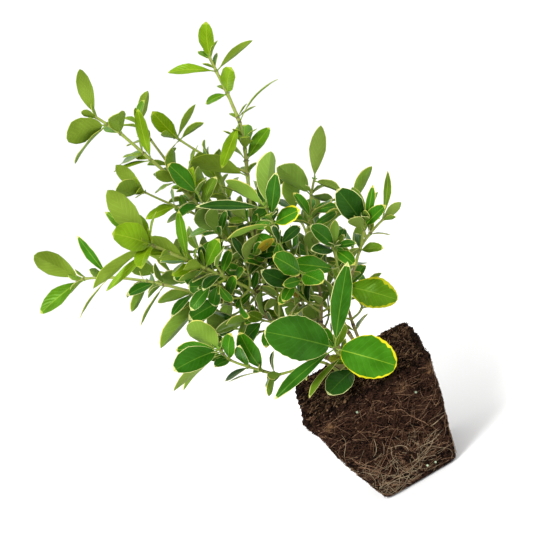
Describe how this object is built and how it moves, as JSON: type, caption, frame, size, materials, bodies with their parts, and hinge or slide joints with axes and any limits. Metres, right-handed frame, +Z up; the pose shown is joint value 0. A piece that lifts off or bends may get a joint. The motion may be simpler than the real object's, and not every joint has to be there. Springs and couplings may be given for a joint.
{
  "type": "young variegated evergreen shrub on its root ball",
  "caption": "Young variegated evergreen shrub with leaning leafy stems, lifted out of its pot and standing on its square, root-bound ball of peat.",
  "frame": {"origin": "centre of the flat underside of the root ball", "axes": "+Z up the middle of the root ball to the tips, -Y towards the side that the picture shows, +X to the right as seen from there"},
  "size_m": [0.2458, 0.1485, 0.3449],
  "materials": {
    "peat": "dark brown crumbly peat bound by tan roots, matt",
    "brown-bark": "brown young bark, matt",
    "green-bark": "olive green stem skin, satin",
    "lime-leaf": "lime green young leaves, satin",
    "green-leaf": "dark green glossy leaves edged with yellow",
    "edged-leaf": "dark green glossy leaves edged with cream",
    "olive-leaf": "grey-green undersides and dull older leaves, edged with cream"
  },
  "bodies": {
    "root": {"root-ball": "peat", "main-stem": "brown-bark", "middle-stem": "brown-bark", "right-stem": "brown-bark", "back-stem": "brown-bark", "back-right-stem": "brown-bark", "low-stem": "green-bark", "front-stem": "green-bark", "left-bough": "green-bark", "lime-bough": "green-bark", "upper-bough": "green-bark", "tall-bough": "green-bark", "back-left-bough": "green-bark", "back-upper-bough": "green-bark", "top-foliage": "lime-leaf", "upper-foliage": "lime-leaf", "side-foliage": "lime-leaf", "lime-foliage": "lime-leaf", "back-upper-foliage": "lime-leaf", "left-foliage": "edged-leaf", "low-foliage": "edged-leaf", "inner-front-foliage": "edged-leaf", "right-foliage": "edged-leaf", "middle-foliage": "edged-leaf", "node-foliage": "edged-leaf", "bough-foliage": "edged-leaf", "heart-foliage": "edged-leaf", "front-foliage": "olive-leaf", "tall-foliage": "olive-leaf", "inner-foliage": "olive-leaf", "foot-foliage": "olive-leaf", "stem-foliage": "olive-leaf", "front-rosette": "green-leaf", "back-foliage": "green-leaf", "back-right-foliage": "green-leaf", "back-left-foliage": "green-leaf", "back-low-foliage": "green-leaf"}
  },
  "joints": []
}
